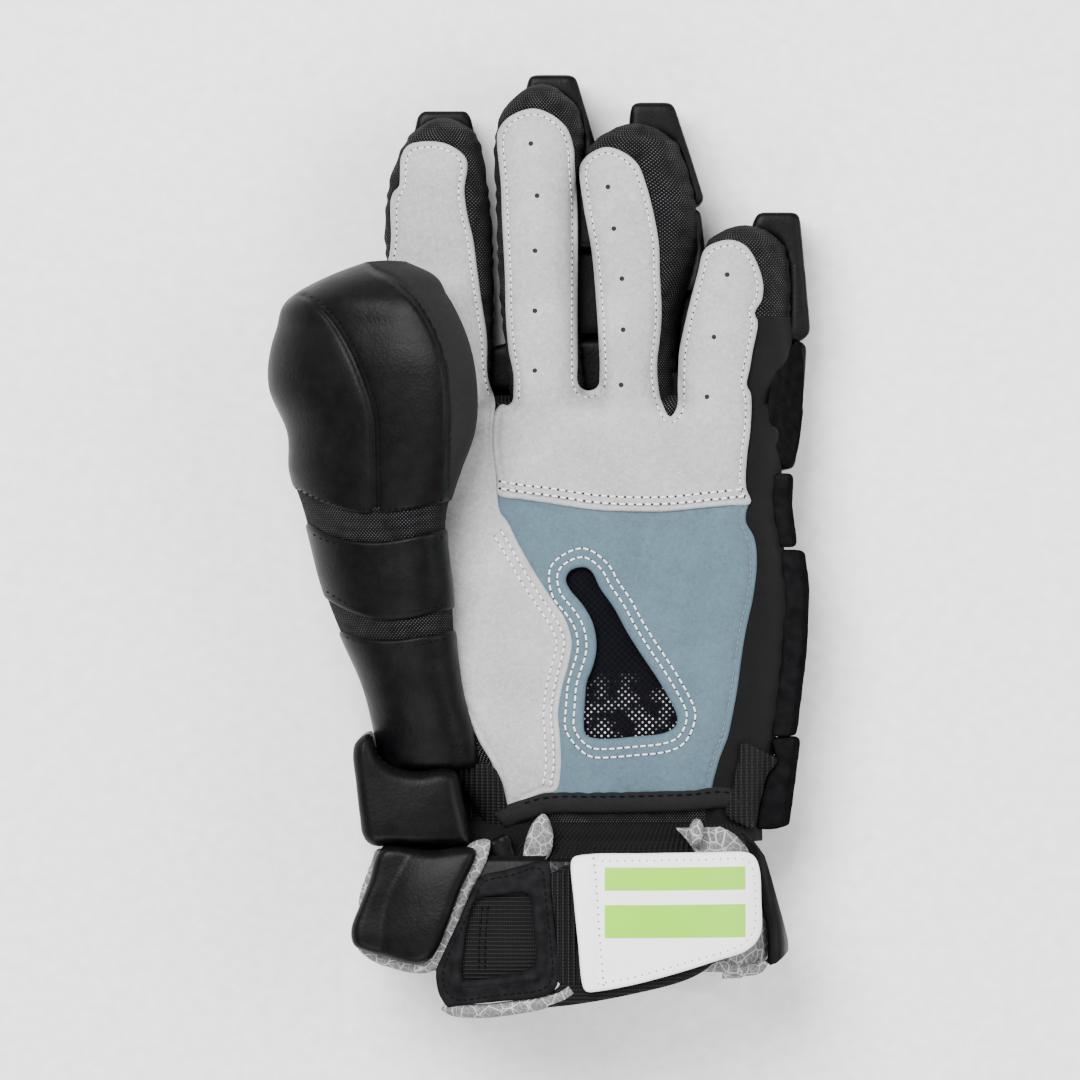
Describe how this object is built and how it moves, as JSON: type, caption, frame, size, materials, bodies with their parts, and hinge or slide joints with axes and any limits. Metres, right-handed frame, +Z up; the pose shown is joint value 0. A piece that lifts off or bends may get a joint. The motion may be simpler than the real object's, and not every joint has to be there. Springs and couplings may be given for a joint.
{
  "type": "lacrosse glove",
  "caption": "Padded left-hand sports glove with pale and blue suede palm, segmented back pads, thumb cap, padded cuff and strap with a pull tab.",
  "frame": {"origin": "on the ground plane under the middle of the bounding box, the glove lying on the pads of the back of its hand", "axes": "+Y from the cuff to the fingertips, +X from the thumb side to the little finger side, +Z up, out of the palm"},
  "size_m": [0.1908, 0.3294, 0.0918],
  "materials": {
    "pale_suede": "matt suede",
    "blue_suede": "matt suede",
    "black_leather": "smooth, low sheen",
    "dark_suede": "matt suede",
    "black_mesh": "woven mesh",
    "black_knit": "ribbed knit",
    "lining": "satin with fine white lines",
    "moulded": "moulded",
    "webbing": "ribbed webbing",
    "white_tab": "smooth, with two lime fields"
  },
  "bodies": {
    "root": {"palm_leather": "pale_suede", "thenar_panel": "pale_suede", "heel_panel": "blue_suede", "heel_mesh": "black_mesh", "palm_binding": "dark_suede", "side_panel": "black_leather", "hand_back": "black_mesh", "index_gusset": "black_mesh", "middle_gusset": "black_mesh", "ring_gusset": "black_mesh", "little_gusset": "black_mesh", "index_pad_tip": "black_leather", "index_pad_middle": "black_leather", "index_pad_base": "black_leather", "middle_pad_tip": "black_leather", "middle_pad_middle": "black_leather", "middle_pad_base": "black_leather", "ring_pad_tip": "black_leather", "ring_pad_middle": "black_leather", "ring_pad_base": "black_leather", "little_pad_tip": "black_leather", "little_pad_base": "black_leather", "knuckle_pad": "black_leather", "back_pad_index": "black_leather", "back_pad_little": "black_leather", "back_pad_wrist": "black_leather", "side_patch": "black_leather", "side_pad_small": "black_leather", "side_pad_long": "black_leather", "wrist_pad_little": "black_leather", "wrist_elastic_little": "webbing", "thumb_stall": "black_knit", "thumb_pad_outer": "black_leather", "thumb_pad_inner": "black_leather", "thumb_edge": "dark_suede", "thumb_band_upper": "black_mesh", "thumb_mid_pad": "black_leather", "thumb_band_lower": "black_mesh", "thumb_low_pad": "black_leather", "wrist_pad_thumb": "black_leather", "wrist_elastic_thumb": "webbing", "wristband": "black_knit", "cuff_back": "black_leather", "cuff_front": "black_leather", "cuff_lining": "lining", "buckle_patch": "moulded", "strap_webbing": "webbing", "cuff_flap": "black_leather", "cuff_flap_binding": "lining", "strap_elastic": "webbing", "strap_base": "webbing", "strap_anchor": "webbing", "pull_tab": "white_tab"}
  },
  "joints": []
}
